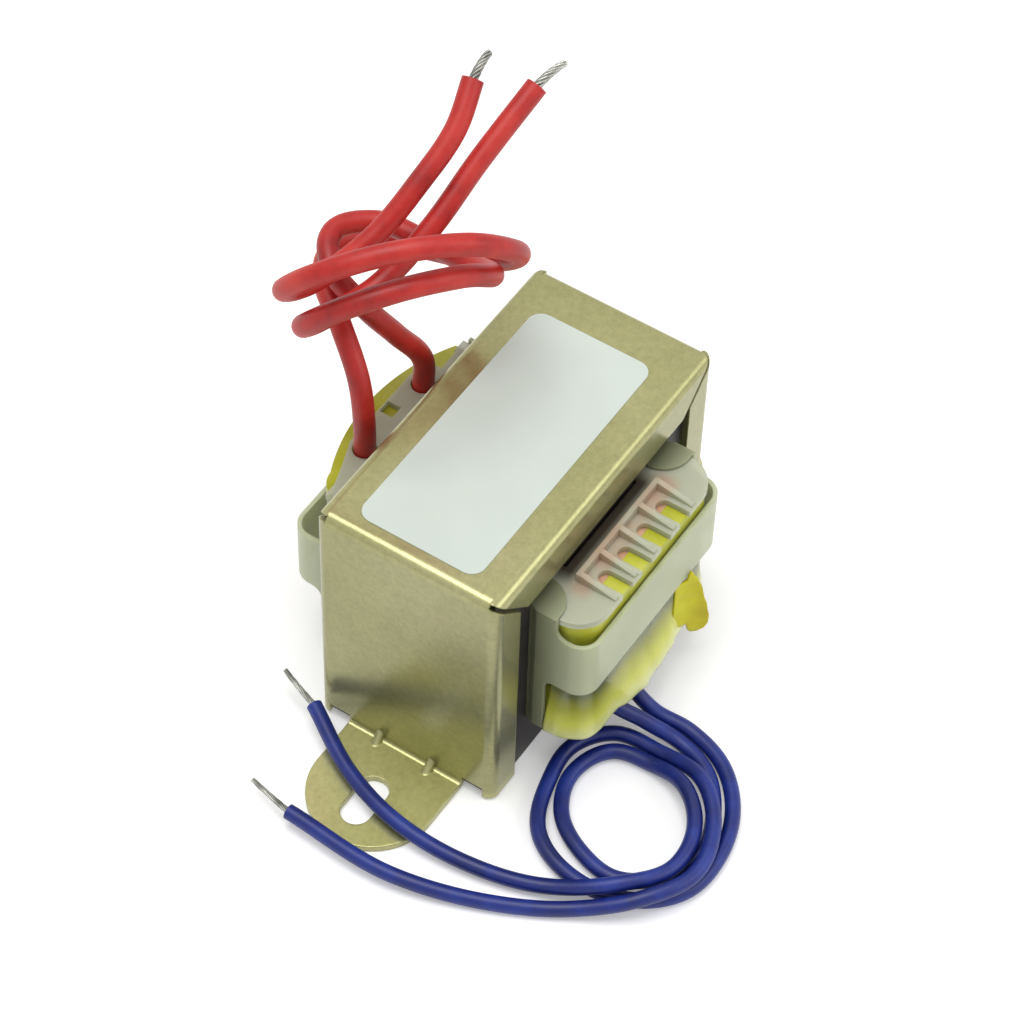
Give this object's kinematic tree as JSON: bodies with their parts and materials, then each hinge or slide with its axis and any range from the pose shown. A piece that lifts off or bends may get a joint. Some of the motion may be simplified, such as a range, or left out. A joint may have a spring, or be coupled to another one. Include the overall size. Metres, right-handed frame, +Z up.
{
  "type": "laminated chassis transformer",
  "caption": "Small EI-core mains transformer in a folded steel clamp with slotted feet, a two-chamber bobbin, insulating covers and free red and blue leads.",
  "frame": {"origin": "centre of the footprint, on the surface that the feet stand on", "axes": "+X along the two feet and the laminations' long side, +Y through the lamination stack towards the red primary leads, +Z up"},
  "size_m": [0.0842, 0.0776, 0.0744],
  "materials": {
    "zinc_plated_steel": "yellow zinc passivated, semi-gloss",
    "silicon_steel": "dark varnished lamination edges",
    "nylon": "translucent natural moulding, satin",
    "enamelled_copper": "enamel-coated copper wire",
    "polyester_tape": "glossy yellow film",
    "label_film": "matt pale film, bare",
    "red_pvc": "soft semi-gloss PVC",
    "blue_pvc": "soft semi-gloss PVC",
    "tinned_copper": "tinned strands"
  },
  "bodies": {
    "root": {"mounting_clamp": "zinc_plated_steel", "core_e_sheets_upright": "silicon_steel", "core_e_sheets_inverted": "silicon_steel", "core_i_sheets_top": "silicon_steel", "core_i_sheets_bottom": "silicon_steel", "bobbin": "nylon", "primary_winding": "enamelled_copper", "secondary_winding": "enamelled_copper", "primary_tape": "polyester_tape", "secondary_tape": "polyester_tape", "front_cover": "nylon", "rear_cover": "nylon", "rating_label": "label_film", "primary_splices": "tinned_copper", "secondary_splices": "tinned_copper", "red_lead_outer": "red_pvc", "red_lead_inner": "red_pvc", "blue_lead_outer": "blue_pvc", "blue_lead_inner": "blue_pvc", "red_outer_wire_end": "tinned_copper", "red_inner_wire_end": "tinned_copper", "blue_outer_wire_end": "tinned_copper", "blue_inner_wire_end": "tinned_copper"}
  },
  "joints": []
}
